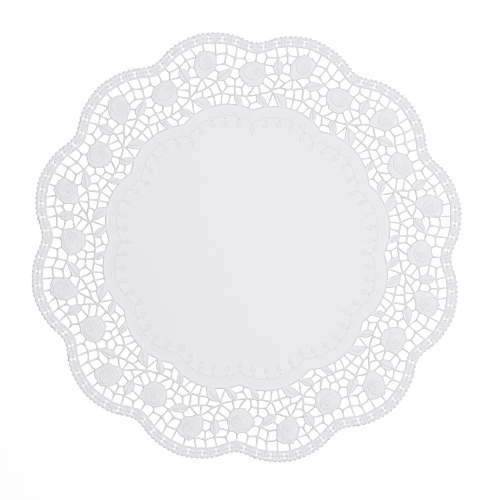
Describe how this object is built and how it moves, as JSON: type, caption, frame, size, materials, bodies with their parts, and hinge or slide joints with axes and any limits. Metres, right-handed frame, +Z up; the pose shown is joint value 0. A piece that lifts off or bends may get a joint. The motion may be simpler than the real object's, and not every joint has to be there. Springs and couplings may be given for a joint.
{
  "type": "paper lace doily",
  "caption": "Round die-cut paper lace doily, lying flat, with a scalloped edge band, an embossed net of roses and leaves, and a plain middle for a cake or plate.",
  "frame": {"origin": "middle of the underside, where the doily lies on the table", "axes": "+Z up out of the table, through the embossed face; +Y and +X each through the middle of a scallop"},
  "size_m": [0.36, 0.36, 0.0015],
  "materials": {
    "embossed_paper": "matt embossed white paper"
  },
  "bodies": {
    "root": {"doily": "embossed_paper"}
  },
  "joints": []
}
